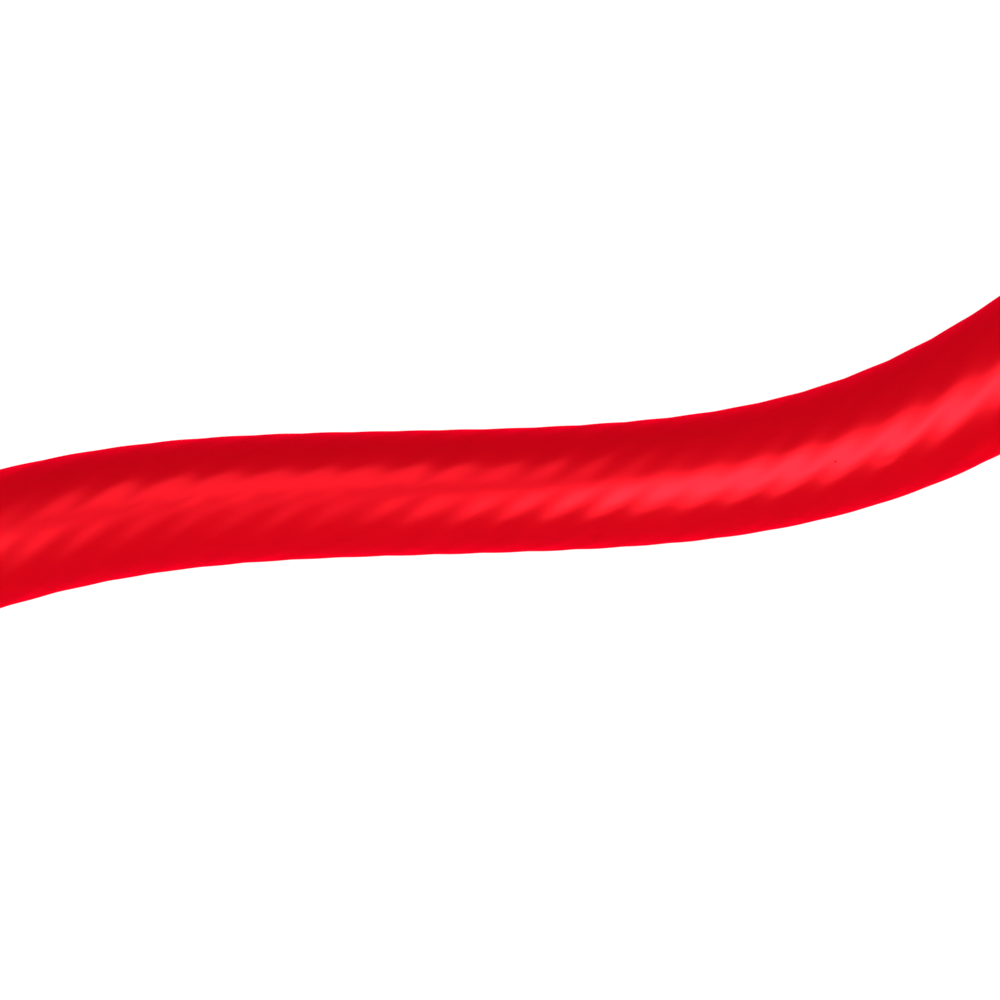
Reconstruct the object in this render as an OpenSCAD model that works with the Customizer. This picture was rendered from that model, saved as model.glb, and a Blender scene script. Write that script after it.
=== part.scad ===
// Microphone cable with a plug at each end, wound into a flat round coil and tied.
// +Z is up, the surface it lies on is z = 0, and both connectors point along -X.
// The origin is on that surface, in the middle of the connectors and the tie.

/* [Cable] */
// Outside diameter of the cable jacket
cable_d = 6.5; // [6:0.1:6.6]
// Number of flat sides on the plain cable tube
cable_sides = 12; // [8:1:12]
// Outside diameter of one insulated core
core_d = 1.5; // [1.2:0.1:1.6]
// Diameter of the bare end of a core
strand_d = 1.1; // [0.8:0.1:1.2]

/* [Coil] */
// Diameter of the coil at the middle of its turns
coil_mid_d = 78; // [76:1:80]
// Turns side by side in the coil
turns_wide = 4; // [3:1:4]
// Turns on top of each other in the coil
turns_high = 3; // [2:1:3]
// Slack in the width of the wound bundle
coil_slack = 1; // [0.5:0.5:1.5]

/* [Connector shells] */
// Outside diameter of both metal shells
shell_d = 19; // [18.6:0.1:19.4]
// Length of the pin shell from its rear edge to its front edge
male_len = 42; // [41:0.5:44]
// Depth of the open cup around the pins
cup_depth = 15; // [14:0.5:15]
// Inside diameter of the cup around the pins
cup_d = 16.4; // [16.3:0.1:16.6]
// Length of the socket shell from its rear edge to the tip of its nose
female_len = 45; // [44:0.5:46]
// Length of the nose of the socket shell
nose_len = 17; // [16:0.5:17]
// Outside diameter of the nose
nose_d = 16.1; // [16:0.1:16.2]
// Inside diameter of the rear bore of both shells
bore_d = 15.4; // [15.3:0.1:15.6]

/* [Contacts] */
// Diameter of a contact pin
pin_d = 2.4; // [2.3:0.05:2.4]
// Distance from the connector axis to a contact
pin_r = 3.96; // [3.9:0.02:4]
// Length of a pin in front of its insert
pin_len = 12.5; // [11:0.5:13]
// Outside diameter of a socket contact
socket_d = 3.6; // [3.4:0.1:3.8]
// Bore of a socket contact
socket_bore = 2.46; // [2.42:0.02:2.6]

/* [Latch] */
// Width of the latch lever
latch_w = 5; // [4.5:0.1:5.2]
// Side clearance between the latch and its slot
latch_gap = 0.3; // [0.2:0.05:0.4]
// Height of the latch hook above the nose
hook_h = 1.15; // [0.9:0.05:1.2]
// Diameter of the pin that the latch turns on
pivot_d = 1.5; // [1.4:0.1:1.6]

/* [Strain relief] */
// Length of the rubber boot behind the collar
boot_len = 14; // [12:0.5:14]
// Diameter of the boot at its thin end
boot_tip_d = 10; // [9.6:0.1:11]
// Number of slots in the clamping chuck
chuck_slots = 6; // [4:1:8]
// Running clearance of the collar, the chuck and the boot
run_gap = 0.1; // [0.06:0.01:0.12]

/* [Tie] */
// Width of the strap
strap_w = 20; // [16:1:20]
// Thickness of one layer of the strap
strap_t = 1.25; // [1:0.05:1.25]
// Thickness of the buckle's bars
bar_d = 2.4; // [2:0.1:2.6]

/* [Hidden] */

$fn = 64;
cr = cable_d / 2;

// centre of the coil, and where the two connectors lie
coil_x = 67;
axis_y = 48;
male_x = -80;
female_x = -16;
axis_z = shell_d / 2;
// the bundle of turns
mid_r = coil_mid_d / 2;
bundle_w = turns_wide * cable_d + coil_slack;
bundle_h = turns_high * cable_d;
in_r = mid_r - bundle_w / 2;
out_r = mid_r + bundle_w / 2;

// contact places, seen with the latch side up
contacts = [[-pin_r, 0], [pin_r, 0], [0, -pin_r]];
// insert front face in the pin shell
face_z = male_len - cup_depth;
// step in the bore that the inserts stop against
male_lip = face_z - 2.5;
nose_z = female_len - nose_len;

// route of the lead from the pin connector: out of the boot, down to the surface,
// and up on to the outer turn of the top layer
route_male = [
  [-86, 48, 9.5], [-79, 48, 9.5], [-72, 48, 9.5], [-62, 48, 9.5], [-52, 48, 9.5],
  [-44, 48, 9.5], [-36.9, 47.5, 8.9], [-30.2, 46.3, 7.5], [-23.8, 44.1, 5.6], [-17.3, 41, 3.9],
  [-10.8, 37.7, 3.2], [-4.2, 34.5, 3.4], [2.3, 31.9, 4.8], [8.9, 30.5, 7], [15.6, 30.8, 9.5],
  [22.3, 32.5, 12], [29, 35.2, 14.2], [35.7, 38.7, 15.6], [42.6, 42.4, 16.2], [49.9, 45.8, 16.25],
  [57.6, 48, 16.25]];
// route of the lead from the socket connector to the outer turn of the bottom layer
route_female = [
  [-22, -48, 9.5], [-15, -48, 9.5], [-8, -48, 9.5], [2, -48, 9.5], [12, -48, 9.5],
  [20, -48, 9.3], [27, -48, 9], [34, -48.1, 8.7], [41, -48.3, 8.7], [48, -48.5, 9],
  [54, -48.7, 9.4], [60, -48.9, 9.75], [67, -48.9, 9.75], [74, -48.4, 9.75]];

// ---------- shared helpers ----------

// uniform cubic spline through a list of control points
function spline_at(p, i, t) =
  (pow(1 - t, 3) * p[i] + (3 * t * t * t - 6 * t * t + 4) * p[i + 1]
   + (-3 * t * t * t + 3 * t * t + 3 * t + 1) * p[i + 2] + t * t * t * p[i + 3]) / 6;
function spline(p, steps = 1) = concat(
  [for (i = [0:len(p) - 4], k = [0:steps - 1]) spline_at(p, i, k / steps)],
  [spline_at(p, len(p) - 4, 1)]);
function unit(v) = v / norm(v);
function heading(c, i) = unit(c[min(i + 1, len(c) - 1)] - c[max(i - 1, 0)]);

// a closed round tube solid swept along a list of points, kept square to the given direction
module swept(c, radii, sides, aside = [0, 0, 1]) {
  n = len(c);
  rings = [for (i = [0:n - 1])
    let (t = heading(c, i), s = unit(cross(t, aside)), u = cross(s, t), r = is_list(radii) ? radii[i] : radii)
      for (k = [0:sides - 1]) c[i] + r * (cos(360 * k / sides) * s + sin(360 * k / sides) * u)];
  faces = concat(
    [[for (k = [0:sides - 1]) k]],
    [for (i = [0:n - 2], k = [0:sides - 1])
      [i * sides + k, (i + 1) * sides + k, (i + 1) * sides + (k + 1) % sides, i * sides + (k + 1) % sides]],
    [[for (k = [sides - 1:-1:0]) (n - 1) * sides + k]]);
  polyhedron(points = rings, faces = faces, convexity = 6);
}

// a rectangle with rounded corners, from one corner to the other
module round_rect(x0, y0, x1, y1, r) {
  translate([x0 + r, y0]) square([x1 - x0 - 2 * r, y1 - y0]);
  translate([x0, y0 + r]) square([x1 - x0, y1 - y0 - 2 * r]);
  for (x = [x0 + r, x1 - r], y = [y0 + r, y1 - r]) translate([x, y]) circle(r);
}

// a connector's own frame: z points out of its mating face, y is up
module at_male() translate([male_x, axis_y, axis_z]) rotate([90, 0, -90]) children();
module at_female() translate([female_x, -axis_y, axis_z]) rotate([90, 0, -90]) children();

// a tube between two heights
module tube(r_out, r_in, z0, z1) difference() {
  translate([0, 0, z0]) cylinder(r = r_out, h = z1 - z0);
  translate([0, 0, z0 - 1]) cylinder(r = r_in, h = z1 - z0 + 2);
}

// ---------- cable ----------

module bundle_ring(z0) translate([coil_x, 0, 0]) rotate_extrude($fn = 96)
  round_rect(in_r, z0, out_r, z0 + bundle_h, 4);

// the block of space that the tie closes round
module tie_zone(grow) translate([coil_x, -strap_w / 2 - grow, -1]) cube([out_r + 5, strap_w + 2 * grow, bundle_h + 8]);

module cable_coil() color([0.86, 0.02, 0.08]) {
  difference() { bundle_ring(0); tie_zone(0.5); }
  intersection() { bundle_ring(strap_t); tie_zone(0.5); }
}

module cable_lead_male() color([0.86, 0.02, 0.08]) swept(spline(route_male), cr, cable_sides);
module cable_lead_female() color([0.86, 0.02, 0.08]) swept(spline(route_female), cr, cable_sides);

// ---------- strain relief, the same on both connectors ----------

// split clamp that closes on the jacket when the collar is screwed in
module chuck() difference() {
  rotate_extrude() polygon([[cr + run_gap / 2, 0.5], [6.3, 0.5], [6.3, -6.6], [4.6, -11.6], [cr + run_gap / 2, -11.6]]);
  for (a = [0:360 / chuck_slots:359]) rotate([0, 0, a]) translate([cr - 0.3, -0.4, -12.6]) cube([6, 0.8, 10.6]);
}

// plastic collar with a threaded neck, screwed into the rear of the shell
module collar() difference() {
  rotate_extrude() polygon([
    [6.4, 6.5], [bore_d / 2 - run_gap - 0.4, 6.5], [bore_d / 2 - run_gap, 6.1],
    [bore_d / 2 - run_gap, -run_gap], [shell_d / 2 - 0.5, -run_gap], [shell_d / 2 - 0.2, -0.5],
    [shell_d / 2 - 0.2, -8.6], [shell_d / 2 - 1, -10], [6.2, -10], [6.2, -13.4],
    [4.75, -13.4], [4.75, -11.8], [6.4, -6.8]]);
  // thread on the neck
  for (z = [1:1:5]) tube(bore_d / 2 + 1, bore_d / 2 - 0.55, z + 0.35, z + 0.75);
  // finger flutes
  for (a = [0:30:359]) rotate([0, 0, a + 15]) translate([shell_d / 2 + 0.55, 0, -7.6]) cylinder(r = 1.3, h = 6, $fn = 24);
}

// soft tapered sleeve with bending grooves
module boot() difference() {
  rotate_extrude() polygon([
    [cr + run_gap, -10 - boot_len], [boot_tip_d / 2 - 0.6, -10 - boot_len], [boot_tip_d / 2, -9.4 - boot_len],
    [8, -12], [8.3, -10.5], [8.3, -10.02], [6.22, -10.02], [6.22, -13.45], [cr + run_gap, -13.45]]);
  for (i = [0:4]) tube(12, 6.4 - 0.42 * i, -14.6 - 2 * i, -13.8 - 2 * i);
}

// ---------- the cable's own inside, fanned out to the contacts ----------

// one insulated core from the cut jacket to its solder cup, with its bare end in the cup
module core(start, cup) {
  go = cup - start;
  way = spline([for (p = [[0, -2.6], [0, -0.98], [0, 0.64], [1, 3.2], [1, 4], [1, 4.8]])
    [start[0] + p[0] * go[0], start[1] + p[0] * go[1], p[1]]], 3);
  line = concat(way, [for (z = [4.02, 4.04, 9]) [cup[0], cup[1], z]]);
  swept(line, [for (i = [0:len(line) - 1]) i <= len(way) ? core_d / 2 : strand_d / 2], 12, [0.1, 1, 0.3]);
}

// solder that fills the cups round the bare ends
module solder() for (c = contacts) translate([c[0], c[1], 5.6])
  difference() {
    cylinder(r = 0.95, h = 3.5, $fn = 32);
    translate([0, 0, -1]) cylinder(d = strand_d, h = 5.5, $fn = 32);
  }

// rear half of every contact: a scooped solder cup and a shank
module contact_tail(top) difference() {
  translate([0, 0, 5]) cylinder(r = 1.5, h = top - 5, $fn = 48);
  translate([0, 0, 4]) cylinder(r = 0.95, h = 6, $fn = 48);
  translate([-2, 0.5, 4]) cube([4, 2, 3.6]);
}

// thin bent strip that joins the shield contact to the shell
module ground_spring(z0) translate([-bore_d / 2, 1.5, z0]) rotate([90, 0, 0]) linear_extrude(3)
  polygon([[0.44, 0], [0.69, 0], [0.69, 3], [0.42, 5], [0.69, 7], [0.69, 10], [0.44, 10], [0.44, 7.05], [0.17, 5.3],
    [0.17, 4.7], [0.44, 2.95]]);

// ---------- pin connector ----------

module male_shell() color([0.72, 0.72, 0.74]) at_male() difference() {
  rotate_extrude($fn = 96) polygon([
    [bore_d / 2 + 0.4, 0], [shell_d / 2 - 0.7, 0], [shell_d / 2 - 0.2, 0.5], [shell_d / 2 - 0.2, 10.4],
    [shell_d / 2 - 0.6, 10.8], [shell_d / 2 - 0.6, 11.6], [shell_d / 2, 12.2], [shell_d / 2, male_len - 0.6],
    [shell_d / 2 - 0.4, male_len], [cup_d / 2 + 0.4, male_len], [cup_d / 2, male_len - 0.5],
    [cup_d / 2, male_lip + 1.5], [bore_d / 2 - 0.5, male_lip + 1.5], [bore_d / 2 - 0.5, male_lip],
    [bore_d / 2, male_lip], [bore_d / 2, 0.4]]);
  // pocket inside the cup that a latch hook drops into
  translate([-latch_w / 2 - 0.2, 0, male_len - 7.2]) cube([latch_w + 0.4, shell_d / 2 - 0.6, 3.6]);
}

module male_insert() color([0.1, 0.1, 0.11]) at_male() difference() {
  union() {
    translate([0, 0, 12]) cylinder(d = bore_d - 0.06, h = male_lip - 12 - 0.02);
    translate([0, 0, 12]) cylinder(d = bore_d - 1.06, h = face_z - 12);
  }
  for (c = contacts) translate([c[0], c[1], 11]) cylinder(r = 1.5, h = 20, $fn = 48);
  translate([-bore_d / 2 - 0.1, -1.6, 11]) cube([0.85, 3.2, 12]);
  // key slot along the bottom
  translate([-1, -bore_d / 2 - 1, face_z - 1.2]) cube([2, 1.9, 3]);
}

module male_pin(i) color([0.85, 0.72, 0.4]) at_male() translate([contacts[i][0], contacts[i][1], 0]) {
  contact_tail(face_z);
  rotate_extrude($fn = 48) polygon([[0, face_z - 1], [pin_d / 2, face_z - 1], [pin_d / 2, face_z + pin_len - 0.9],
    [pin_d / 2 - 0.25, face_z + pin_len - 0.3], [pin_d / 2 - 0.65, face_z + pin_len], [0, face_z + pin_len]]);
}
module male_pin_1() male_pin(0);
module male_pin_2() male_pin(1);
module male_pin_3() male_pin(2);

module male_ground_spring() color([0.8, 0.8, 0.82]) at_male() ground_spring(12.5);
module male_chuck() color([0.9, 0.9, 0.88]) at_male() chuck();
module male_collar() color([0.08, 0.08, 0.09]) at_male() collar();
module male_boot() color([0.05, 0.05, 0.055]) at_male() boot();
module male_core_hot() color([0.85, 0.85, 0.85]) at_male() core([0.95, 0.1], contacts[1]);
module male_core_cold() color([0.1, 0.2, 0.7]) at_male() core([0, -1.6], contacts[2]);
module male_shield_tail() color([0.72, 0.45, 0.3]) at_male() core([-0.95, 0.1], contacts[0]);
module male_solder() color([0.75, 0.75, 0.76]) at_male() solder();

// ---------- socket connector ----------

// pivot of the latch in the connector's frame
pivot_z = 9;
pivot_y = 6.4;
nr = nose_d / 2;

module female_shell() color([0.72, 0.72, 0.74]) at_female() difference() {
  rotate_extrude($fn = 96) polygon([
    [bore_d / 2 + 0.4, 0], [shell_d / 2 - 0.7, 0], [shell_d / 2 - 0.2, 0.5], [shell_d / 2 - 0.2, 10.4],
    [shell_d / 2 - 0.6, 10.8], [shell_d / 2 - 0.6, 11.6], [shell_d / 2, 12.2], [shell_d / 2, nose_z - 0.6],
    [shell_d / 2 - 0.5, nose_z], [nr, nose_z], [nr, female_len - 0.8], [nr - 0.3, female_len - 0.2],
    [nr - 0.5, female_len], [nr - 0.75, female_len], [nr - 0.75, nose_z - 2], [bore_d / 2, nose_z - 2], [bore_d / 2, 0.4]]);
  // slot for the thumb pad and the hook
  translate([-latch_w / 2 - latch_gap, 3, 17.4]) cube([latch_w + 2 * latch_gap, 8, female_len - 17.4 - 5.6]);
  // relief inside the bore over the hub of the latch
  translate([-latch_w / 2 - latch_gap, 3, 6.8]) cube([latch_w + 2 * latch_gap, 5.3, 11]);
  // holes for the pivot pin
  translate([-6, pivot_y, pivot_z]) rotate([0, 90, 0]) cylinder(d = pivot_d, h = 12, $fn = 48);
  // key slot along the bottom of the nose
  translate([-1.1, -nr - 1, female_len - 12]) cube([2.2, 1.4, 13]);
}

module female_insert() color([0.1, 0.1, 0.11]) at_female() difference() {
  union() {
    translate([0, 0, 12]) cylinder(d = bore_d - 0.06, h = nose_z - 2.02 - 12);
    translate([0, 0, 12]) cylinder(r = nr - 0.8, h = female_len - 12.4);
  }
  for (c = contacts) translate([c[0], c[1], 11]) {
    cylinder(r = 1.5, h = 18, $fn = 48);
    translate([0, 0, 17]) cylinder(d = socket_d, h = female_len - 30, $fn = 48);
    cylinder(r = 1.4, h = 40, $fn = 48);
  }
  // channel that the latch moves in
  translate([-latch_w / 2 - latch_gap, 4, 11]) cube([latch_w + 2 * latch_gap, 6, female_len - 16.4]);
  // pocket under the latch for its spring
  translate([0, 5, 30]) rotate([90, 0, 0]) cylinder(r = 1.75, h = 3.6, $fn = 48);
  translate([-bore_d / 2 - 0.1, -1.6, 11]) cube([0.85, 3.2, 12]);
}

module female_socket(i) color([0.85, 0.72, 0.4]) at_female() translate([contacts[i][0], contacts[i][1], 0]) {
  contact_tail(28.1);
  difference() {
    translate([0, 0, 28]) cylinder(d = socket_d, h = female_len - 30, $fn = 48);
    translate([0, 0, 29.5]) cylinder(d = socket_bore, h = 20, $fn = 48);
    // slits that let the socket spring open
    for (a = [45, 135]) rotate([0, 0, a]) translate([-3, -0.2, female_len - 9]) cube([6, 0.4, 8]);
  }
}
module female_socket_1() female_socket(0);
module female_socket_2() female_socket(1);
module female_socket_3() female_socket(2);

module female_ground_spring() color([0.8, 0.8, 0.82]) at_female() ground_spring(12.5);

// lever with a thumb pad in the middle and a hook at its end
module female_latch() color([0.72, 0.72, 0.74]) at_female() difference() {
  translate([latch_w / 2, 0, 0]) rotate([0, -90, 0]) linear_extrude(latch_w) {
    translate([pivot_z, pivot_y]) circle(d = 2.6, $fn = 48);
    polygon([[pivot_z, pivot_y - 1.3], [17, 5.9], [38.6, 5.9], [38.9, 6.2], [38.9, 7.4],
      [36.9, nr + hook_h], [35.4, nr + hook_h], [35, 7.2], [27.6, 7.2], [27.6, 9.5], [26.8, 10.2],
      [19.4, 10.4], [18.2, 9.4], [18, 7.2], [pivot_z, pivot_y + 1.3]]);
  }
  translate([-4, pivot_y, pivot_z]) rotate([0, 90, 0]) cylinder(d = pivot_d + 0.1, h = 8, $fn = 48);
  // grooves across the thumb pad
  for (z = [20.4:1.5:26.4]) translate([-4, 10.55, z]) rotate([0, 90, 0]) cylinder(r = 0.42, h = 8, $fn = 24);
}

module female_latch_pin() color([0.6, 0.6, 0.62]) at_female()
  translate([-5.6, pivot_y, pivot_z]) rotate([0, 90, 0]) cylinder(d = pivot_d, h = 11.2, $fn = 48);

// small coil spring that lifts the latch, standing in its pocket
spring_pts = [for (i = [0:60]) let (a = i * 30, h = i / 60)
  [1.2 * cos(a), 1.2 * sin(a), 0.2 + 3.98 * (h < 0.1 ? h * 0.7 : (h > 0.9 ? 0.93 + (h - 0.9) * 0.7 : 0.07 + (h - 0.1) * 1.075))]];
module female_latch_spring() color([0.7, 0.7, 0.72]) at_female()
  translate([0, 1.42, 30]) rotate([-90, 0, 0]) swept(spring_pts, 0.18, 8);

// rubber ring at the root of the nose
module female_nose_seal() color([0.06, 0.06, 0.065]) at_female() difference() {
  rotate_extrude($fn = 96) polygon([[nr + 0.01, nose_z + 0.02], [nr + 0.9, nose_z + 0.02], [nr + 0.9, nose_z + 0.9], [nr + 0.6, nose_z + 1.2], [nr + 0.01, nose_z + 1.2]]);
  translate([-latch_w / 2 - latch_gap, 3, nose_z - 1]) cube([latch_w + 2 * latch_gap, 8, 4]);
}

module female_chuck() color([0.9, 0.9, 0.88]) at_female() chuck();
module female_collar() color([0.08, 0.08, 0.09]) at_female() collar();
module female_boot() color([0.05, 0.05, 0.055]) at_female() boot();
module female_core_hot() color([0.85, 0.85, 0.85]) at_female() core([0.95, 0.1], contacts[1]);
module female_core_cold() color([0.1, 0.2, 0.7]) at_female() core([0, -1.6], contacts[2]);
module female_shield_tail() color([0.72, 0.45, 0.3]) at_female() core([-0.95, 0.1], contacts[0]);
module female_solder() color([0.75, 0.75, 0.76]) at_female() solder();

// ---------- tie ----------

// inside of the strap loop, across the bundle
strap_x0 = sqrt(in_r * in_r - strap_w * strap_w / 4) - 0.1;
strap_x1 = out_r;
top_z = strap_t + bundle_h;
// the buckle's two bars
bar_z = top_z + bar_d / 2 + strap_t;
bars = [mid_r - 3.4, mid_r + 3.4];
eye_r = bar_d / 2 + strap_t;

// place a profile drawn across the bundle
module across(w) translate([coil_x, w / 2, 0]) rotate([90, 0, 0]) linear_extrude(w) children();

// one strap: its loop, the fold round each bar, and the tail pressed back on the loop
module tie_strap() color([0.07, 0.07, 0.075]) across(strap_w) {
  difference() {
    union() {
      difference() {
        round_rect(strap_x0 - strap_t, 0, strap_x1 + strap_t, top_z + strap_t, 4.2);
        translate([bars[0], top_z - 1]) square([bars[1] - bars[0], 6]);
      }
      // tail on the outside of the loop
      difference() {
        round_rect(strap_x0 - 2 * strap_t, -strap_t, strap_x1 + 2 * strap_t, top_z + 2 * strap_t, 5.4);
        round_rect(strap_x0, strap_t, strap_x1, top_z, 3.2);
        translate([-20, -5]) square([20 + bars[1], 60]);
        translate([-20, -5]) square([100, 12]);
      }
      for (x = bars) translate([x, bar_z]) circle(eye_r, $fn = 48);
    }
    round_rect(strap_x0, strap_t, strap_x1, top_z, 3.2);
    for (x = bars) translate([x, bar_z]) circle(bar_d / 2 + 0.02, $fn = 48);
  }
}

// rectangular loop of four round bars
module tie_buckle() color([0.09, 0.09, 0.1]) translate([coil_x, 0, bar_z]) {
  y = strap_w / 2 + 0.4 + bar_d / 2;
  for (x = bars) translate([x, -y, 0]) rotate([-90, 0, 0]) cylinder(d = bar_d, h = 2 * y, $fn = 48);
  for (s = [-1, 1]) translate([bars[0], s * y, 0]) rotate([0, 90, 0]) cylinder(d = bar_d, h = bars[1] - bars[0], $fn = 48);
  for (x = bars, s = [-1, 1]) translate([x, s * y, 0]) sphere(d = bar_d, $fn = 48);
}

cable_coil();
cable_lead_male();
cable_lead_female();
male_shell();
male_insert();
male_pin_1();
male_pin_2();
male_pin_3();
male_ground_spring();
male_chuck();
male_collar();
male_boot();
male_core_hot();
male_core_cold();
male_shield_tail();
male_solder();
female_shell();
female_insert();
female_socket_1();
female_socket_2();
female_socket_3();
female_ground_spring();
female_latch();
female_latch_pin();
female_latch_spring();
female_nose_seal();
female_chuck();
female_collar();
female_boot();
female_core_hot();
female_core_cold();
female_shield_tail();
female_solder();
tie_strap();
tie_buckle();
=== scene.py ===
import math

import bpy
import numpy as np
from mathutils import Matrix, Vector


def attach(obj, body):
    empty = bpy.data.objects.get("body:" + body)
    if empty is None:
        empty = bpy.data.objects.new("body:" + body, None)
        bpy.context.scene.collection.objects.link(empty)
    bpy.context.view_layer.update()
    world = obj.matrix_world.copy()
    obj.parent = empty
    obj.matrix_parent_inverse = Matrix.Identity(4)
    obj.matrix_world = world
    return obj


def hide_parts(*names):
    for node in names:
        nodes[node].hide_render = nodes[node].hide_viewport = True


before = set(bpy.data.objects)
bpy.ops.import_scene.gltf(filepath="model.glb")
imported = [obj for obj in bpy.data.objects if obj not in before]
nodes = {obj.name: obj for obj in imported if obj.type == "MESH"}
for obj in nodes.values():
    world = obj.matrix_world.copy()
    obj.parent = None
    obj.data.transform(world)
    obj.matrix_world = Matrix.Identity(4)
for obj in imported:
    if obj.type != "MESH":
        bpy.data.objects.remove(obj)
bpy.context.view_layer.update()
scene = bpy.context.scene
MM = 0.001

# ---------------------------------------------------------------- camera

ROLL = math.radians(28.072)
camera_data = bpy.data.cameras.new("camera")
camera_data.sensor_fit = "HORIZONTAL"
camera_data.sensor_width = 36
camera_data.lens = 45.308
camera_data.clip_start = 0.002
camera_data.clip_end = 10
camera = bpy.data.objects.new("camera", camera_data)
scene.collection.objects.link(camera)
camera.location = (-0.010226, 0.036891, 0.06925)
camera.rotation_euler = (0, 0, -ROLL)
scene.camera = camera
scene.view_settings.view_transform = "Standard"
scene.view_settings.look = "None"


def in_picture(right, up):
    """A place given in mm to the right and up in the picture, from its middle, as a place on the surface."""
    c, s = math.cos(ROLL), math.sin(ROLL)
    return (-10.226 + right * c + up * s, 36.891 - right * s + up * c)


# ---------------------------------------------------------------- the cable's line, in mm

D = 6.5
MID, COIL_X = 39.0, 67.0
ROUTE_MALE = [
    (-86, 48, 9.5), (-79, 48, 9.5), (-72, 48, 9.5), (-62, 48, 9.5), (-52, 48, 9.5), (-44, 48, 9.5),
    (-36.9, 47.5, 8.9), (-30.2, 46.3, 7.5), (-23.8, 44.1, 5.6), (-17.3, 41, 3.9), (-10.8, 37.7, 3.2),
    (-4.2, 34.5, 3.4), (2.3, 31.9, 4.8), (8.9, 30.5, 7), (15.6, 30.8, 9.5), (22.3, 32.5, 12),
    (29, 35.2, 14.2), (35.7, 38.7, 15.6), (42.6, 42.4, 16.2), (49.9, 45.8, 16.25), (57.6, 48, 16.25),
]
ROUTE_FEMALE = [
    (-22, -48, 9.5), (-15, -48, 9.5), (-8, -48, 9.5), (2, -48, 9.5), (12, -48, 9.5), (20, -48, 9.3),
    (27, -48, 9), (34, -48.1, 8.7), (41, -48.3, 8.7), (48, -48.5, 9), (54, -48.7, 9.4),
    (60, -48.9, 9.75), (67, -48.9, 9.75), (74, -48.4, 9.75),
]
# where each pass lies under the strap: (column from the inside, row from the bottom)
PLACES = [(4, 3), (3, 3), (2, 3), (1, 3), (1, 2), (1, 1), (2, 1), (2, 2), (3, 2), (3, 1), (4, 1), (4, 2)]


def spline(points, steps):
    """Uniform cubic spline near a list of points."""
    p = np.array(points, float)
    t = np.linspace(0, 1, steps, endpoint=False)[:, None]
    b = [(1 - t) ** 3, 3 * t**3 - 6 * t**2 + 4, -3 * t**3 + 3 * t**2 + 3 * t + 1, t**3]
    out = [sum(w * q for w, q in zip(b, p[i : i + 4])) / 6 for i in range(len(p) - 3)]
    return np.vstack([*out, (p[-3] + 4 * p[-2] + p[-1])[None] / 6])


def length_along(line):
    return np.r_[0, np.cumsum(np.linalg.norm(np.diff(line, axis=0), axis=1))]


def at_lengths(line, at):
    s = length_along(line)
    return np.stack([np.interp(at, s, line[:, k]) for k in range(3)], 1)


def respaced(line, step):
    total = length_along(line)[-1]
    return at_lengths(line, np.linspace(0, total, max(2, int(round(total / step)) + 1)))


def ease(x):
    x = np.clip(x, 0, 1)
    return x * x * x * (x * (6 * x - 15) + 10)


def bell(half, width):
    k = np.exp(-0.5 * (np.arange(-half, half + 1) / width) ** 2)
    return k / k.sum()


def blurred(v, k):
    h = len(k) // 2
    p = np.pad(v, ((h, h), (0, 0)), mode="edge")
    return np.stack([np.convolve(p[:, c], k, "valid") for c in range(v.shape[1])], 1)


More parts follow.
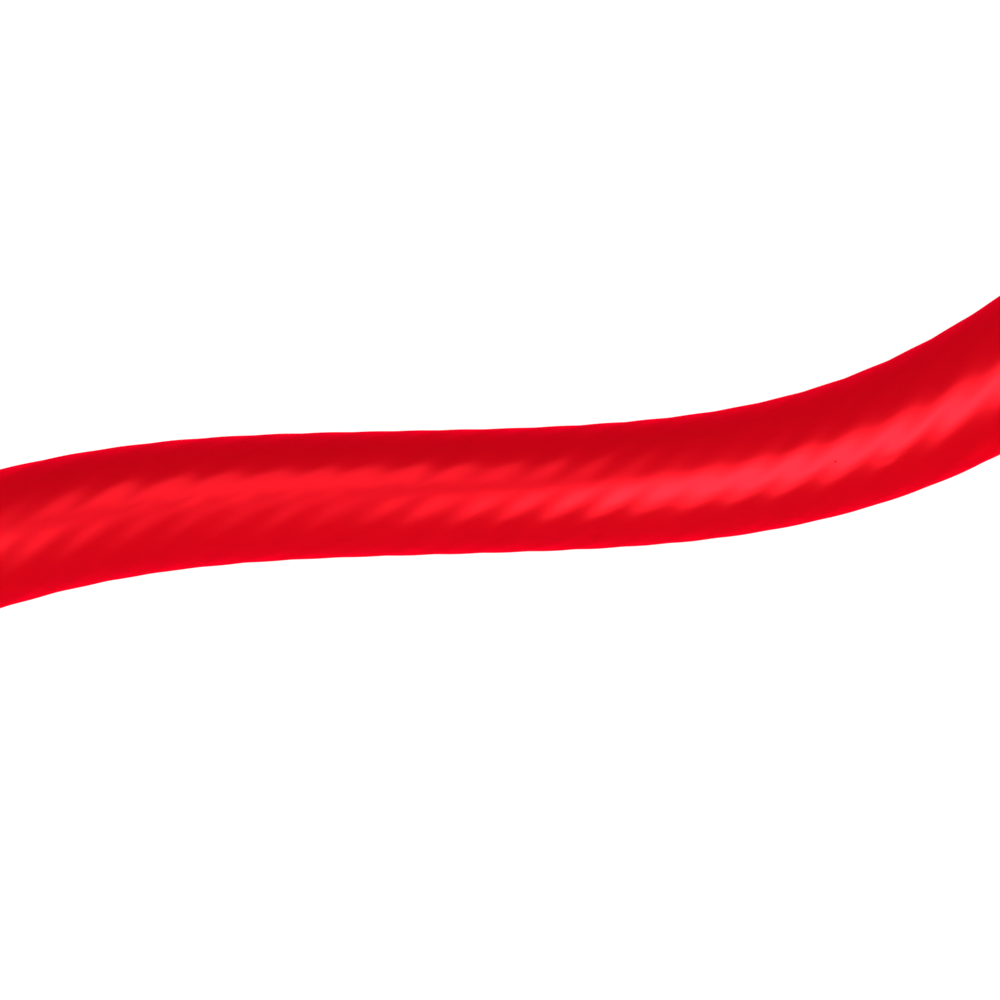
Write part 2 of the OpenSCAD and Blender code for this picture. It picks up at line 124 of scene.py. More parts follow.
def wound(step=2.6, rounds=400, stagger=0.004, width=0.37, gap=6.52):
    """Winds the coil turn by turn and lets the turns settle: they push each other apart, sink, and resist bending."""
    male, female = spline(ROUTE_MALE, 24), spline(ROUTE_FEMALE, 24)
    a0 = math.atan2(male[-1][1], male[-1][0] - COIL_X)
    a1 = math.atan2(female[-1][1], female[-1][0] - COIL_X)
    total = (a0 - a1) / (2 * math.pi) + 11
    tie = a0 / (2 * math.pi)
    t = np.arange(0, total - 0.3 * step / (2 * math.pi * MID), step / (2 * math.pi * MID))
    places = np.array(PLACES, float)
    turn = np.clip(np.floor(t - tie).astype(int), 0, 10)
    middle = 0.385 - (turn - 5.5) * stagger
    u = ease(((t - tie - turn) - middle) / width + 0.5)[:, None]
    cell = places[turn] * (1 - u) + places[turn + 1] * u
    cell[t < tie] = places[0]
    cell[t > tie + 11] = places[11]
    r = MID + (cell[:, 0] - 2.5) * 6.6
    a = a0 - 2 * math.pi * t
    coil = np.stack([COIL_X + r * np.cos(a), r * np.sin(a), D / 2 + (cell[:, 1] - 1) * 6.5], 1)
    m, f = respaced(male, step), respaced(female, step)[::-1]
    x = np.vstack([m[:-1], coil, f])
    n = len(x)
    free = np.ones(n, bool)
    free[: len(m) - 1] = False
    free[-len(f) :] = False
    order = np.arange(n)
    edge = np.minimum(np.clip((order - (len(m) - 1)) / 8, 0, 1), np.clip((n - len(f) - order) / 8, 0, 1))
    hold = free * ease(edge)
    arc = np.abs(np.arctan2(x[:, 1], x[:, 0] - COIL_X) * MID)
    x[:, 2] += 1.3 * np.exp(-((arc / 16) ** 4)) * free
    wide, fine = bell(9, 3.2), bell(7, 2.0)
    for it in range(rounds):
        if it % 8 == 0:
            g = x @ x.T
            q = np.diag(g)
            i, j = np.nonzero(np.triu(q[:, None] + q[None] - 2 * g < 100.0, 10))
            keep = (hold[i] > 0) | (hold[j] > 0)
            i, j = i[keep], j[keep]
        tangent = np.zeros_like(x)
        tangent[1:-1] = x[2:] - x[:-2]
        tangent[0], tangent[-1] = tangent[1], tangent[-2]
        tangent /= np.linalg.norm(tangent, axis=1)[:, None]
        v = x[j] - x[i]
        v = v - (v * tangent[j]).sum(1)[:, None] * tangent[j]
        d = np.linalg.norm(v, axis=1) + 1e-9
        hit = d < gap
        push = v[hit] / d[hit][:, None] * ((gap - d[hit]) * 0.5)[:, None]
        move, count = np.zeros_like(x), np.zeros(n)
        np.add.at(move, i[hit], -push)
        np.add.at(move, j[hit], push)
        np.add.at(count, i[hit], 1.0)
        np.add.at(count, j[hit], 1.0)
        move /= np.maximum(count, 1)[:, None] ** 0.5
        late = it > rounds * 0.75
        rr = np.hypot(x[:, 0] - COIL_X, x[:, 1])
        out = np.stack([(x[:, 0] - COIL_X) / rr, x[:, 1] / rr], 1)
        move[:, 2] -= 0.05 + 0.12 * np.maximum(x[:, 2] - 16.5, 0)
        pull = np.clip(rr - MID, -14, 14)
        over = np.sign(pull) * np.maximum(np.abs(pull) - 10.4, 0)
        move[:, :2] -= out * (over * 0.10)[:, None]
        arc = np.abs(np.arctan2(x[:, 1], x[:, 0] - COIL_X) * MID)
        strap = free & (arc < 11.5)
        move[strap, :2] += (out * (np.clip(rr, 29.1, 48.9) - rr)[:, None])[strap]
        move[strap, 2] += (np.clip(x[:, 2], 4.55, 17.6) - x[:, 2])[strap]
        move = blurred(move, fine if late else wide) * hold[:, None] * (1.0 if late else 1.3)
        around = np.stack([COIL_X + out[:, 0] * MID, out[:, 1] * MID, np.zeros(n)], 1)
        move += (blurred(x - around, fine) - (x - around)) * ((0.5 if late else 0.6) * hold)[:, None]
        move -= (move * tangent).sum(1)[:, None] * tangent
        mids = np.zeros_like(x)
        mids[1:-1] = (x[2:] + x[:-2]) / 2 - x[1:-1]
        move += ((mids * tangent).sum(1) * free)[:, None] * tangent * 0.7
        x += move
        floor = 3.25 + 1.3 * np.exp(-((arc / 15.5) ** 4))
        x[:, 2] = np.where(hold > 0, np.maximum(x[:, 2], floor), x[:, 2])
    # a smooth line through the settled points
    bend = np.zeros_like(x)
    bend[1:-1] = x[2:] - 2 * x[1:-1] + x[:-2]
    q = x - bend / 6
    return spline(np.vstack([2 * q[0] - q[1], q, 2 * q[-1] - q[-2]]), 6)


line = wound()
total_length = length_along(line)[-1]

# ---------------------------------------------------------------- the cable's jacket

# the part of the cable that the camera sees is meshed closely, with the lay of the strands below as real relief
flat_s = length_along(line)
view_c, view_s = math.cos(ROLL), math.sin(ROLL)
right_of = (line[:, 0] + 10.226) * view_c - (line[:, 1] - 36.891) * view_s
up_of = (line[:, 0] + 10.226) * view_s + (line[:, 1] - 36.891) * view_c
depth = 69.25 - line[:, 2]
seen = (np.abs(right_of / depth) < 0.44) & (np.abs(up_of / depth) < 0.3) & (flat_s < 300)
s_in, s_out = flat_s[seen].min(), flat_s[seen].max()
FINE, COARSE = 128, 32
fine_at = np.arange(s_in, s_out + 0.25, 0.25)
before = np.linspace(0, s_in - 0.7, int(s_in / 2.2) + 1)
after = np.linspace(s_out + 0.95, total_length, int((total_length - s_out) / 2.2) + 1)
s_all = np.r_[before, fine_at, after]
fine_ring = np.zeros(len(s_all), bool)
fine_ring[len(before) : len(before) + len(fine_at)] = True
centre = at_lengths(line, s_all)
ahead, behind = at_lengths(line, np.minimum(s_all + 0.6, total_length)), at_lengths(line, np.maximum(s_all - 0.6, 0))
heading = ahead - behind
heading /= np.linalg.norm(heading, axis=1)[:, None]
upward = np.array([0, 0, 1.0]) - heading[:, 2:3] * heading
upward /= np.linalg.norm(upward, axis=1)[:, None]
leftward = np.cross(upward, heading)


def lattice_noise(a, b, period_a, seed):
    """Smooth noise on a grid that closes on itself in a, whose cells are one unit."""
    rng = np.random.RandomState(seed)
    table = rng.uniform(-1, 1, (period_a, 512))
    ia, ib = np.floor(a).astype(int), np.floor(b).astype(int)
    fa, fb = a - ia, b - ib
    fa, fb = fa * fa * (3 - 2 * fa), fb * fb * (3 - 2 * fb)
    g = lambda x, y: table[x % period_a, y % 512]
    return (g(ia, ib) * (1 - fa) + g(ia + 1, ib) * fa) * (1 - fb) + (g(ia, ib + 1) * (1 - fa) + g(ia + 1, ib + 1) * fa) * fb


STARTS, PITCH = 13, 2.4  # ridges round the cable, and their spacing along it in mm
TWIST = 2 * math.pi / PITCH / STARTS
SCAR_S, SCAR_TURN = float(np.interp(0.304, (right_of / depth)[flat_s < 110], flat_s[flat_s < 110])), -0.34  # the one pit that shows


def relief(theta, s):
    """Height of the jacket over its round shape, in mm: the strands below, uneven, and broad dents."""
    turned = (theta - TWIST * s) / (2 * math.pi)
    uneven = lattice_noise(turned * 14, s / 5.5, 14, 3)
    ridge = np.cos(STARTS * (theta - TWIST * s) + 0.8 * lattice_noise(turned * 7, s / 7.0, 7, 5))
    strength = 0.7 + 0.3 * lattice_noise(turned * 8 + 3, s / 4.0, 8, 9)
    broad = lattice_noise(theta / (2 * math.pi) * 6, s / 6.0, 6, 11)
    scar = np.exp(-(((s - SCAR_S) / 0.24) ** 2 + ((theta - 2 * math.pi - SCAR_TURN) * D / 2 / 0.10) ** 2))
    return 0.018 * ridge * strength + 0.003 * uneven + 0.008 * broad - 0.03 * scar


verts, along, turn_c, turn_s, is_fine = [], [], [], [], []
ring_start = []
for k in range(len(s_all)):
    sides = FINE if fine_ring[k] else COARSE
    th = np.arange(sides) / sides * 2 * math.pi
    fade = 0.0
    if fine_ring[k]:
        fade = float(ease((s_all[k] - s_in) / 1.5) * ease((s_out + 0.2 - s_all[k]) / 1.5))
    radius = D / 2 + (relief(th, np.full(sides, s_all[k])) * fade if fine_ring[k] else 0)
    p = centre[k] + (np.cos(th) * radius)[:, None] * upward[k] + (np.sin(th) * radius)[:, None] * leftward[k]
    ring_start.append(sum(len(v) for v in verts) if k == 0 else ring_start[-1] + last)
    last = sides
    verts.append(p)
    along.append(np.full(sides, s_all[k]))
    turn_c.append(np.cos(th))
    turn_s.append(np.sin(th))
    is_fine.append(np.full(sides, fade))
faces = []
for k in range(len(s_all) - 1):
    a, b = ring_start[k], ring_start[k + 1]
    na, nb = (FINE if fine_ring[k] else COARSE), (FINE if fine_ring[k + 1] else COARSE)
    if na == nb:
        j = np.arange(na)
        j2 = (j + 1) % na
        faces += np.stack([a + j, b + j, b + j2, a + j2], 1).tolist()
    elif na < nb:
        for j in range(na):
            j2 = (j + 1) % na
            f = [b + (4 * j + q) % nb for q in range(5)]
            faces += [[a + j, f[0], f[1]], [a + j, f[1], f[2]], [a + j, f[2], a + j2], [a + j2, f[2], f[3]], [a + j2, f[3], f[4]]]
    else:
        for j in range(nb):
            j2 = (j + 1) % nb
            f = [a + (4 * j + q) % na for q in range(5)]
            faces += [[f[1], f[0], b + j], [f[2], f[1], b + j], [b + j2, f[2], b + j], [f[3], f[2], b + j2], [f[4], f[3], b + j2]]
faces.append(list(range(ring_start[0], ring_start[0] + COARSE))[::1])
faces.append(list(range(ring_start[-1], ring_start[-1] + COARSE))[::-1])


def mesh_object(name, verts, faces, smooth=True, sharp=None):
    m = bpy.data.meshes.new(name)
    m.from_pydata(np.asarray(verts, float).tolist(), [], [list(map(int, f)) for f in faces])
    m.validate()
    if smooth:
        m.polygons.foreach_set("use_smooth", [True] * len(m.polygons))
    if sharp is not None:
        m.set_sharp_from_angle(angle=math.radians(sharp))
    m.update()
    o = bpy.data.objects.new(name, m)
    scene.collection.objects.link(o)
    return o


def number_attribute(o, name, values):
    a = o.data.attributes.new(name, "FLOAT", "POINT")
    a.data.foreach_set("value", np.asarray(values, np.float32))


cable = mesh_object("red_cable", np.vstack(verts) * MM, faces)
number_attribute(cable, "along_mm", np.concatenate(along))
number_attribute(cable, "turn_c", np.concatenate(turn_c))
number_attribute(cable, "turn_s", np.concatenate(turn_s))
number_attribute(cable, "relief_here", np.concatenate(is_fine))
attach(cable, "cable")
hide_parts("cable_coil", "cable_lead_male", "cable_lead_female")

# ---------------------------------------------------------------- the strap, in mm across the bundle (out from the coil's centre, up)

STRAP_W, STRAP_T = 20.0, 1.25
STRAP_IN, STRAP_OUT, STRAP_TOP = math.sqrt(25.5**2 - 100) - 0.1, 52.5, 20.75
BARS, BAR_Z, BAR_R = (35.6, 42.4), 23.2, 1.2


def rounded(points, radii, step=0.4):
    """A polyline with each corner turned into an arc, as evenly spaced points."""
    p = [np.array(q, float) for q in points]
    out = [p[0]]
    for a, b, c, r in zip(p, p[1:], p[2:], radii):
        u, v = (a - b) / np.linalg.norm(a - b), (c - b) / np.linalg.norm(c - b)
        half = math.acos(max(-1, min(1, float(u @ v)))) / 2
        r = min(r, 0.49 * min(np.linalg.norm(a - b), np.linalg.norm(c - b)) * math.tan(half))
        if r < 1e-3 or half > 1.56:
            out.append(b)
            continue
        back = r / math.tan(half)
        mid = b + (u + v) / np.linalg.norm(u + v) * (r / math.sin(half))
        s, e = b + u * back - mid, b + v * back - mid
        turn = math.atan2(s[0] * e[1] - s[1] * e[0], s @ e)
        for k in range(13):
            w = turn * k / 12
            out.append(mid + np.array([s[0] * math.cos(w) - s[1] * math.sin(w), s[0] * math.sin(w) + s[1] * math.cos(w)]))
    out.append(p[-1])
    q = np.array(out)
    d = np.r_[0, np.cumsum(np.linalg.norm(np.diff(q, axis=0), axis=1))]
    at = np.linspace(0, d[-1], int(d[-1] / step) + 1)
    return np.stack([np.interp(at, d, q[:, 0]), np.interp(at, d, q[:, 1])], 1)


def round_bar(x, start, end, r):
    return [(x + r * math.cos(math.radians(w)), BAR_Z + r * math.sin(math.radians(w))) for w in np.linspace(start, end, 9)]


h = STRAP_T / 2
wrap = BAR_R + h + 0.03
strap_line = [(26.4, STRAP_TOP + 3 * h + 0.1), (32.2, STRAP_TOP + 3 * h + 0.1)] + round_bar(BARS[0], 115, -90, wrap)
strap_line += [(32.0, STRAP_TOP + h), (STRAP_IN - h, STRAP_TOP + h), (STRAP_IN - h, h), (STRAP_OUT + h, h), (STRAP_OUT + h, STRAP_TOP + h)]
strap_line += [(46.0, STRAP_TOP + h)] + round_bar(BARS[1], 270, 65, wrap)
strap_line += [(45.6, STRAP_TOP + 3 * h + 0.1), (STRAP_OUT + 3 * h + 0.1, STRAP_TOP + 3 * h + 0.1), (STRAP_OUT + 3 * h + 0.1, 7.0)]
radii = [1.5] + [0.6] * 9 + [1.5, 3.6, 3.6, 3.6, 3.6, 1.5] + [0.6] * 9 + [1.5, 4.8]
strap_path = rounded(strap_line, radii)
strap_flat = float(np.linalg.norm(np.diff(strap_path, axis=0), axis=1).sum())


def strap_mesh():
    """One woven strap: flat selvedges, a raised pile between them, and slightly uneven edges."""
    n = len(strap_path)
    tangent = np.gradient(strap_path, axis=0)
    tangent /= np.linalg.norm(tangent, axis=1)[:, None]
    normal = np.stack([tangent[:, 1], -tangent[:, 0]], 1)
    rng = np.random.RandomState(21)
    across = np.r_[-1, np.linspace(-0.985, 0.985, 41), 1]
    rows_top, rows_bottom = [], []
    s = np.arange(n) * 0.4
    edge = 0.10 * np.sin(s * 0.33 + 1) + 0.05 * np.sin(s * 1.7)
    for v in across:
        y = v * (STRAP_W / 2 - 0.15) + edge * abs(v)
        inside = 1 if abs(v) < 0.9 else 0
        pile = inside * (0.05 + 0.05 * rng.uniform(-1, 1, n))
        weave = 0.03 * np.sin(s / 0.9 * 2 * math.pi + (math.pi if int(round((v + 1) * 20)) % 2 else 0)) * (1 - inside)
        thick = (h - 0.16) if abs(v) < 0.99 else (h - 0.34)
        for rows, side in ((rows_top, 1), (rows_bottom, -1)):
            off = side * (thick + pile + weave)
            q = strap_path + normal * np.broadcast_to(off, n)[:, None]
            rows.append(np.stack([COIL_X + q[:, 0], np.broadcast_to(y, n), q[:, 1]], 1))
    m = len(across)
    v = np.vstack(rows_top + rows_bottom)
    f = []
    top, bottom = (lambda r, k: r * n + k), (lambda r, k: (m + r) * n + k)
    for r in range(m - 1):
        for k in range(n - 1):
            f.append([top(r, k), top(r + 1, k), top(r + 1, k + 1), top(r, k + 1)])
            f.append([bottom(r, k), bottom(r, k + 1), bottom(r + 1, k + 1), bottom(r + 1, k)])
    for k in range(n - 1):
        f.append([top(0, k), top(0, k + 1), bottom(0, k + 1), bottom(0, k)])
        f.append([top(m - 1, k + 1), top(m - 1, k), bottom(m - 1, k), bottom(m - 1, k + 1)])
    for r in range(m - 1):
        f.append([top(r + 1, 0), top(r, 0), bottom(r, 0), bottom(r + 1, 0)])
        f.append([top(r, n - 1), top(r + 1, n - 1), bottom(r + 1, n - 1), bottom(r, n - 1)])
    return v, f, normal


strap_v, strap_f, strap_normal = strap_mesh()
strap = mesh_object("loop_strap", strap_v * MM, strap_f, sharp=50)
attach(strap, "cable")
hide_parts("tie_strap")


def small_tubes(name, lines, radius, sides=3):
    """Many short bent threads in one mesh."""
    v, f = [], []
    ring = [(math.cos(2 * math.pi * k / sides), math.sin(2 * math.pi * k / sides)) for k in range(sides)]
    for line_ in lines:
        q = np.array(line_, float)
        t = np.gradient(q, axis=0)
        t /= np.linalg.norm(t, axis=1)[:, None] + 1e-12
        ref = np.array([0.31, 0.88, 0.36])
        a = np.cross(t, ref)
        a /= np.linalg.norm(a, axis=1)[:, None]
        b = np.cross(t, a)
        base = len(v)
        for k in range(len(q)):
            for c, s_ in ring:
                v.append(q[k] + (a[k] * c + b[k] * s_) * radius)
        for k in range(len(q) - 1):
            for j in range(sides):
                j2 = (j + 1) % sides
                f.append([base + k * sides + j, base + (k + 1) * sides + j, base + (k + 1) * sides + j2, base + k * sides + j2])
        f.append([base + j for j in range(sides)])
        f.append([base + (len(q) - 1) * sides + j for j in range(sides)][::-1])
    return mesh_object(name, np.array(v) * MM, f)


def on_strap(k, y, lift):
    q = strap_path[k] + strap_normal[k] * lift
    return np.array([COIL_X + q[0], y, q[1]])


rng = np.random.RandomState(5)
pile_lines = []
n_path = len(strap_path)
for _ in range(2600):
    k = rng.uniform(1, n_path - 2)
    y = rng.uniform(-8.7, 8.7)
    i0 = int(k)
    # the pile is on the face that is outside where the strap goes round the bundle
    lean, reach = rng.uniform(-0.35, 0.35), rng.uniform(0.28, 0.5)
    foot = on_strap(i0, y, -(h - 0.14))
    tang = strap_path[min(i0 + 1, n_path - 1)] - strap_path[max(i0 - 1, 0)]
    tang = np.array([tang[0], 0, tang[1]]) / np.linalg.norm(tang)
    out_dir = -np.array([strap_normal[i0][0], 0, strap_normal[i0][1]])
    side = tang * math.cos(lean * 4) + np.array([0, 1, 0]) * math.sin(lean * 4)
    pts = []
    for w in np.linspace(0, math.pi, 6):
        pts.append(foot + side * (0.22 * -math.cos(w)) + out_dir * (0.26 * math.sin(w) * (reach / 0.35) - 0.03) + np.array([0, lean * 0.1, 0]))
    pile_lines.append(pts)
pile = small_tubes("strap_loops", pile_lines, 0.035)
pile.parent = strap

# seam that holds the loop round the first bar: a box of stitches with a cross in it
seam_lines = []
corners = [(27.6, -8.2), (32.0, -8.2), (32.0, 8.2), (27.6, 8.2)]
runs = [(corners[i], corners[(i + 1) % 4]) for i in range(4)] + [(corners[0], corners[2]), (corners[1], corners[3])]
for (ax, ay), (bx, by) in runs:
    length_ = math.hypot(bx - ax, by - ay)
    count = max(1, int(length_ / 1.9))
    for k in range(count):
        s0, s1 = (k + 0.12) / count, (k + 0.88) / count
        pts = []
        for w in np.linspace(0, 1, 6):
            g = s0 + (s1 - s0) * w
            pts.append((COIL_X + ax + (bx - ax) * g, ay + (by - ay) * g, STRAP_TOP + 4 * h + 0.02 + 0.16 * math.sin(math.pi * w) - 0.06))
        seam_lines.append(pts)
seam = small_tubes("strap_seam", seam_lines, 0.13, sides=6)
seam.parent = strap

# ---------------------------------------------------------------- materials


def material(name, color, rough, metal=0.0, variation=0.05, scale=400.0, rough_variation=0.08, bump=0.02, bump_scale=900.0,
             stretch=(1, 1, 1), specular=0.5, coat=0.0, subsurface=0.0):
    """A finish whose colour, roughness and fine relief vary over the surface."""
    m = bpy.data.materials.new(name)
    m.use_nodes = True
    t = m.node_tree
    bsdf = t.nodes["Principled BSDF"]
    bsdf.inputs["Metallic"].default_value = metal
    bsdf.inputs["Specular IOR Level"].default_value = specular
    bsdf.inputs["Coat Weight"].default_value = coat
    place = t.nodes.new("ShaderNodeTexCoord")
    squeeze = t.nodes.new("ShaderNodeMapping")
    squeeze.inputs["Scale"].default_value = stretch
    t.links.new(place.outputs["Object"], squeeze.inputs["Vector"])
    broad = t.nodes.new("ShaderNodeTexNoise")
    broad.inputs["Scale"].default_value = scale
    broad.inputs["Detail"].default_value = 4
    t.links.new(squeeze.outputs["Vector"], broad.inputs["Vector"])
    mix = t.nodes.new("ShaderNodeMix")
    mix.data_type = "RGBA"
    mix.inputs["A"].default_value = (*[c * (1 - variation) for c in color], 1)
    mix.inputs["B"].default_value = (*[min(1, c * (1 + variation)) for c in color], 1)
    t.links.new(broad.outputs["Fac"], mix.inputs["Factor"])
    t.links.new(mix.outputs["Result"], bsdf.inputs["Base Color"])
    r = t.nodes.new("ShaderNodeMapRange")
    r.inputs["To Min"].default_value = max(0.02, rough - rough_variation)
    r.inputs["To Max"].default_value = min(1, rough + rough_variation)
    t.links.new(broad.outputs["Fac"], r.inputs["Value"])
    t.links.new(r.outputs["Result"], bsdf.inputs["Roughness"])
    grain = t.nodes.new("ShaderNodeTexNoise")
    grain.inputs["Scale"].default_value = bump_scale
    grain.inputs["Detail"].default_value = 3
    t.links.new(squeeze.outputs["Vector"], grain.inputs["Vector"])
    b = t.nodes.new("ShaderNodeBump")
    b.inputs["Strength"].default_value = 1
    b.inputs["Distance"].default_value = bump * MM
    t.links.new(grain.outputs["Fac"], b.inputs["Height"])
    t.links.new(b.outputs["Normal"], bsdf.inputs["Normal"])
    return m


def math_node(t, kind, *inputs):
    n = t.nodes.new("ShaderNodeMath")
    n.operation = kind
    for i, v in enumerate(inputs):
        if isinstance(v, (int, float)):
            n.inputs[i].default_value = v
        else:
            t.links.new(v, n.inputs[i])
    return n.outputs[0]


def jacket_material():
    m = bpy.data.materials.new("red_pvc")
    m.use_nodes = True
    t = m.node_tree
    bsdf = t.nodes["Principled BSDF"]
    attr = {}
    for name in ("along_mm", "turn_c", "turn_s", "relief_here"):
        a = t.nodes.new("ShaderNodeAttribute")
        a.attribute_name = name
        attr[name] = a.outputs["Fac"]
    theta = math_node(t, "ARCTAN2", attr["turn_s"], attr["turn_c"])
    turned = math_node(t, "SUBTRACT", theta, math_node(t, "MULTIPLY", attr["along_mm"], TWIST))
    where = t.nodes.new("ShaderNodeCombineXYZ")
    t.links.new(math_node(t, "MULTIPLY", math_node(t, "COSINE", turned), 1.6), where.inputs["X"])
    t.links.new(math_node(t, "MULTIPLY", math_node(t, "SINE", turned), 1.6), where.inputs["Y"])
    t.links.new(math_node(t, "MULTIPLY", attr["along_mm"], 0.2), where.inputs["Z"])
    patchy = t.nodes.new("ShaderNodeTexNoise")
    patchy.inputs["Scale"].default_value = 1.0
    patchy.inputs["Detail"].default_value = 3
    t.links.new(where.outputs["Vector"], patchy.inputs["Vector"])
    ridge = math_node(t, "COSINE", math_node(t, "MULTIPLY", turned, STARTS))
    ridge = math_node(t, "MULTIPLY", ridge, patchy.outputs["Fac"])
    ridge = math_node(t, "MULTIPLY", ridge, math_node(t, "SUBTRACT", 1.0, attr["relief_here"]))
    strands = t.nodes.new("ShaderNodeBump")
    strands.inputs["Distance"].default_value = 0.03 * MM
    t.links.new(ridge, strands.inputs["Height"])
    place = t.nodes.new("ShaderNodeTexCoord")
    grain = t.nodes.new("ShaderNodeTexNoise")
    grain.inputs["Scale"].default_value = 2600
    grain.inputs["Detail"].default_value = 2
    t.links.new(place.outputs["Object"], grain.inputs["Vector"])
    orange = t.nodes.new("ShaderNodeBump")
    orange.inputs["Distance"].default_value = 0.0012 * MM
    t.links.new(grain.outputs["Fac"], orange.inputs["Height"])
    t.links.new(strands.outputs["Normal"], orange.inputs["Normal"])
    cells = t.nodes.new("ShaderNodeTexVoronoi")
    cells.inputs["Scale"].default_value = 620
    t.links.new(place.outputs["Object"], cells.inputs["Vector"])
    which = t.nodes.new("ShaderNodeSeparateColor")
    t.links.new(cells.outputs["Color"], which.inputs["Color"])
    few = math_node(t, "GREATER_THAN", which.outputs["Red"], 0.62)
    near = t.nodes.new("ShaderNodeMapRange")
    near.interpolation_type = "SMOOTHSTEP"
    near.inputs["From Min"].default_value = 0.0
    near.inputs["From Max"].default_value = 0.045
    near.inputs["To Min"].default_value = -1.0
    near.inputs["To Max"].default_value = 0.0
    t.links.new(cells.outputs["Distance"], near.inputs["Value"])
    pits = t.nodes.new("ShaderNodeBump")
    pits.inputs["Distance"].default_value = 0.02 * MM
    t.links.new(math_node(t, "MULTIPLY", near.outputs["Result"], few), pits.inputs["Height"])
    t.links.new(orange.outputs["Normal"], pits.inputs["Normal"])
    t.links.new(pits.outputs["Normal"], bsdf.inputs["Normal"])
    mix = t.nodes.new("ShaderNodeMix")
    mix.data_type = "RGBA"
    mix.inputs["A"].default_value = (0.48, 0.0012, 0.0060, 1)
    mix.inputs["B"].default_value = (0.54, 0.0014, 0.0068, 1)
    t.links.new(patchy.outputs["Fac"], mix.inputs["Factor"])
    t.links.new(mix.outputs["Result"], bsdf.inputs["Base Color"])
    r = t.nodes.new("ShaderNodeMapRange")
    r.inputs["To Min"].default_value = 0.276
    r.inputs["To Max"].default_value = 0.296
    t.links.new(patchy.outputs["Fac"], r.inputs["Value"])
    t.links.new(r.outputs["Result"], bsdf.inputs["Roughness"])
    # the jacket's own red tints what it mirrors
    bsdf.inputs["IOR"].default_value = 2.0
    bsdf.inputs["Specular IOR Level"].default_value = 1.0
    bsdf.inputs["Specular Tint"].default_value = (1.0, 0.0265, 0.041, 1)
    # light that has passed through the thin edge of the jacket
    bsdf.inputs["Sheen Weight"].default_value = 1.0
    bsdf.inputs["Sheen Roughness"].default_value = 0.46
    bsdf.inputs["Sheen Tint"].default_value = (1.0, 0.0, 0.02, 1)
    return m


MATERIALS = {
    "jacket": jacket_material(),
    "shell": material("satin_nickel", (0.60, 0.58, 0.55), 0.30, metal=1.0, variation=0.04, scale=250, bump=0.004, bump_scale=1800, stretch=(0.15, 1, 1)),
    "contact": material("gold_plate", (0.83, 0.60, 0.25), 0.22, metal=1.0, variation=0.05, scale=600, bump=0.002, bump_scale=2500),
    "insert": material("black_nylon", (0.016, 0.016, 0.018), 0.45, scale=500, variation=0.15, bump=0.010, bump_scale=1500),
    "collar": material("black_glass_nylon", (0.020, 0.020, 0.022), 0.42, scale=350, variation=0.2, bump=0.016, bump_scale=1300),
    "boot": material("black_rubber", (0.012, 0.012, 0.013), 0.62, scale=300, variation=0.2, bump=0.02, bump_scale=1100),
    "chuck": material("natural_acetal", (0.72, 0.71, 0.66), 0.40, scale=300, variation=0.04, bump=0.008, bump_scale=900),
    "spring": material("spring_steel", (0.56, 0.55, 0.54), 0.28, metal=1.0, scale=800, bump=0.002, bump_scale=2500),
    "core_white": material("white_insulation", (0.80, 0.80, 0.78), 0.45, scale=500, variation=0.04, bump=0.006, bump_scale=1500),
    "core_blue": material("blue_insulation", (0.03, 0.08, 0.55), 0.45, scale=500, variation=0.08, bump=0.006, bump_scale=1500),
    "copper": material("bare_copper", (0.80, 0.38, 0.22), 0.32, metal=1.0, scale=900, variation=0.12, bump=0.02, bump_scale=2600),
    "solder": material("solder", (0.62, 0.62, 0.64), 0.28, metal=1.0, scale=900, variation=0.08, bump=0.01, bump_scale=1400),
    "strap": material("black_loop_pile", (0.018, 0.018, 0.020), 0.85, scale=800, variation=0.3, bump=0.15, bump_scale=2200),
    "buckle": material("black_acetal", (0.015, 0.015, 0.016), 0.35, scale=500, variation=0.1, bump=0.008, bump_scale=1300),
}
SLOT_OF = {
    "male_shell": "shell", "male_insert": "insert", "male_pin_1": "contact", "male_pin_2": "contact", "male_pin_3": "contact",
    "male_ground_spring": "spring", "male_chuck": "chuck", "male_collar": "collar", "male_boot": "boot",
    "male_core_hot": "core_white", "male_core_cold": "core_blue", "male_shield_tail": "copper", "male_solder": "solder",
    "female_shell": "shell", "female_insert": "insert", "female_socket_1": "contact", "female_socket_2": "contact",
    "female_socket_3": "contact", "female_ground_spring": "spring", "female_latch": "shell", "female_latch_pin": "spring",
    "female_latch_spring": "spring", "female_nose_seal": "boot", "female_chuck": "chuck", "female_collar": "collar",
    "female_boot": "boot", "female_core_hot": "core_white", "female_core_cold": "core_blue", "female_shield_tail": "copper",
    "female_solder": "solder", "tie_strap": "strap", "tie_buckle": "buckle",
}


def paint(o, name):
    o.data.materials.clear()
    o.data.materials.append(MATERIALS[name])


paint(cable, "jacket")
paint(strap, "strap")
paint(pile, "strap")
seam.data.materials.append(material("grey_thread", (0.10, 0.10, 0.105), 0.55, scale=900, variation=0.25, bump=0.02, bump_scale=3000))
for name, finish in SLOT_OF.items():
    paint(nodes[name], finish)

# ---------------------------------------------------------------- the surface that it lies on, and the lights

FLOOR_GLOW = 1.0
TABLE_LIGHT = 1.9


def sheet_of(name, half, z, n=24):
    g = np.linspace(-half, half, n)
    v = np.array([(x, y, z) for y in g for x in g])
    f = [[r * n + c, r * n + c + 1, (r + 1) * n + c + 1, (r + 1) * n + c] for r in range(n - 1) for c in range(n - 1)]
    return mesh_object(name, v, f)


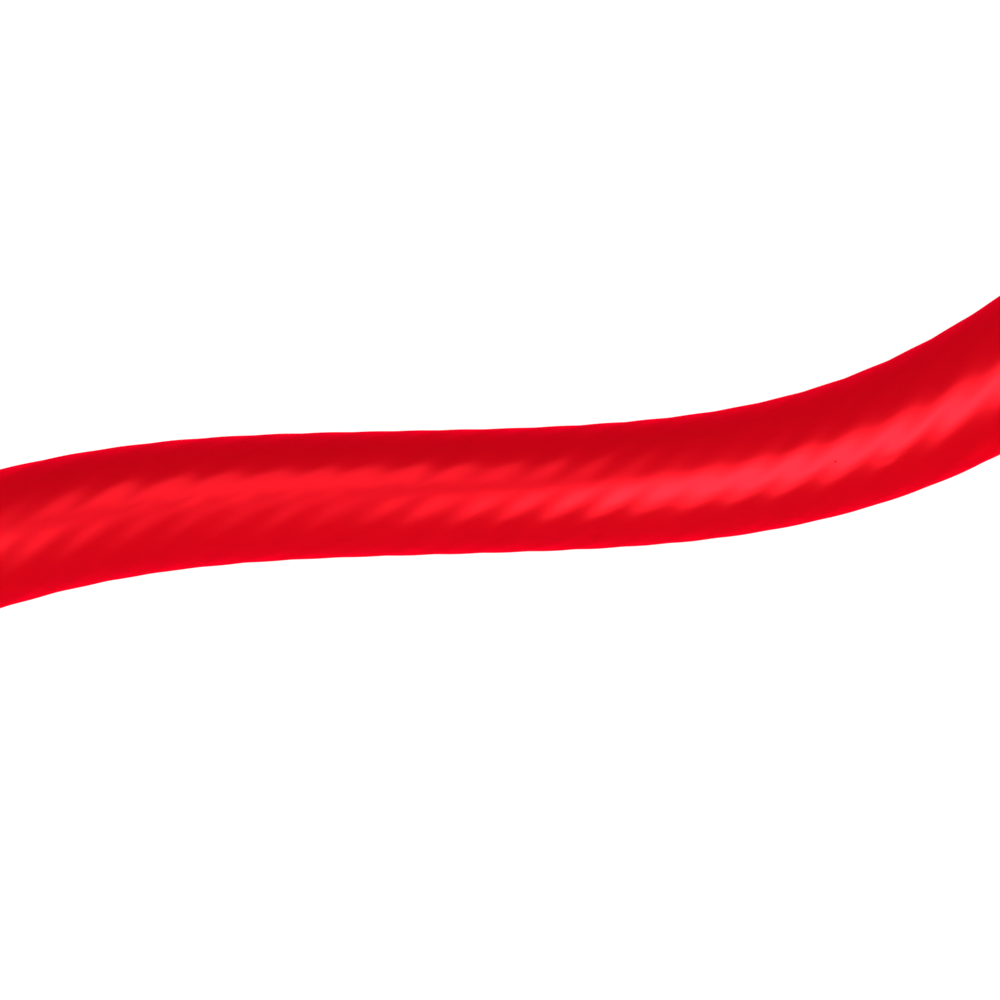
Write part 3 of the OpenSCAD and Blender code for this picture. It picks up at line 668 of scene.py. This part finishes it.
def dome_of(name, radius):
    v, f = [(0, 0, radius)], []
    rings, sides = 10, 48
    for r in range(1, rings + 1):
        e = math.pi / 2 * (1 - r / rings) - (0.03 if r == rings else 0)
        for k in range(sides):
            w = 2 * math.pi * k / sides
            v.append((radius * math.cos(e) * math.cos(w), radius * math.cos(e) * math.sin(w), radius * math.sin(e)))
    for k in range(sides):
        f.append([0, 1 + (k + 1) % sides, 1 + k])
    for r in range(rings - 1):
        for k in range(sides):
            a, b = 1 + r * sides + k, 1 + r * sides + (k + 1) % sides
            f.append([a, b, b + sides, a + sides])
    return mesh_object(name, v, f)


def glow(name, strength, color=(0, 0, 0)):
    m = bpy.data.materials.new(name)
    m.use_nodes = True
    b = m.node_tree.nodes["Principled BSDF"]
    b.inputs["Base Color"].default_value = (*color, 1)
    b.inputs["Roughness"].default_value = 0.9
    b.inputs["Specular IOR Level"].default_value = 0.0
    b.inputs["Emission Color"].default_value = (1, 1, 1, 1)
    b.inputs["Emission Strength"].default_value = strength
    m.cycles.emission_sampling = "NONE"
    return m


# what the metal and black plastic mirror: the white table and a pale room. The red cable mirrors only the softboxes.
hardware = bpy.data.collections.new("hardware")
scene.collection.children.link(hardware)
for o in [*(nodes[k] for k in SLOT_OF if not nodes[k].hide_render), strap, pile, seam]:
    hardware.objects.link(o)

floor = sheet_of("table", 3.0, -0.00002, 48)
floor.data.materials.append(glow("white_table", FLOOR_GLOW, (0.08, 0.08, 0.08)))
floor.visible_glossy = floor.visible_diffuse = False
card = sheet_of("table_in_mirror", 3.0, -0.0004, 2)
card.data.materials.append(glow("table_card", 0.9))
card.visible_camera = card.visible_diffuse = card.visible_shadow = card.visible_transmission = False
card.light_linking.receiver_collection = hardware
backdrop = dome_of("backdrop", 3.0)
backdrop.data.materials.append(glow("pale_wall", 0.92))
backdrop.visible_diffuse = backdrop.visible_glossy = backdrop.visible_shadow = backdrop.visible_transmission = False
room = dome_of("room_in_mirror", 2.9)
room.data.materials.append(glow("room_card", 0.35))
room.visible_camera = room.visible_diffuse = room.visible_shadow = room.visible_transmission = False
room.light_linking.receiver_collection = hardware
# a low black flag beside the seen stretch, so the connector that lies below it does not mirror in it
flag_line = [in_picture(r, -29) for r in (-52, 38)]
flag = mesh_object("black_flag", np.array([(x, y, z) for x, y in flag_line for z in (0.0, 13.0)]) * MM, [[0, 2, 3, 1]])
flag.data.materials.append(glow("black_felt", 0.0))
flag.visible_camera = flag.visible_diffuse = flag.visible_shadow = flag.visible_transmission = False

world = bpy.data.worlds.new("studio")
scene.world = world
world.use_nodes = True
world.node_tree.nodes["Background"].inputs["Color"].default_value = (1, 1, 1, 1)
world.node_tree.nodes["Background"].inputs["Strength"].default_value = 0.0


def softbox(name, right, up, height, wide, deep, turn, radiance):
    """An area light that faces the seen part of the cable, placed in mm in the picture's own directions."""
    light = bpy.data.lights.new(name, "AREA")
    light.shape = "RECTANGLE"
    light.size, light.size_y = wide * MM, deep * MM
    light.energy = radiance * math.pi * wide * deep * MM * MM
    o = bpy.data.objects.new(name, light)
    scene.collection.objects.link(o)
    toward = -np.array([right, up, height], float)
    toward /= np.linalg.norm(toward)
    side = np.cross([math.sin(turn), math.cos(turn), 0], toward)
    side /= np.linalg.norm(side)
    picture = np.array([[view_c, view_s, 0], [-view_s, view_c, 0], [0, 0, 1]])
    axes = np.stack([picture @ side, picture @ np.cross(-toward, side), picture @ -toward], 1)
    x, y = in_picture(right, up)
    o.matrix_world = Matrix.Translation((x * MM, y * MM, height * MM)) @ Matrix(axes.tolist()).to_4x4()
    return o


# the brightly lit table, which lights everything from below and has no mirror image of its own
bounce = softbox("table_bounce", 0, 0, -0.01, 1600, 1600, 0, TABLE_LIGHT)
bounce.matrix_world = Matrix.Translation((0, 0, -0.00001)) @ Matrix.Rotation(math.pi, 4, "X")
bounce.data.cycles.use_multiple_importance_sampling = False
bounce.visible_camera = bounce.visible_glossy = False
softbox("key_softbox", -77, -112, 376, 87, 224, 0, 6.5)
softbox("back_softbox", 55, 195, 345, 110, 227, 0, 2.6)
softbox("fill_softbox", -3, -130, 378, 60, 234, 0, 2.2)
softbox("wide_softbox", -167, -139, 336, 294, 485, 0, 3.7)
softbox("side_softbox", 220, 35, 332, 118, 187, 0, 15.0)

print("strap flat length mm", round(float(strap_flat), 1))
print("cable length mm", round(total_length, 1), "rings", len(s_all), "faces", len(faces), "seen", s_in, s_out)
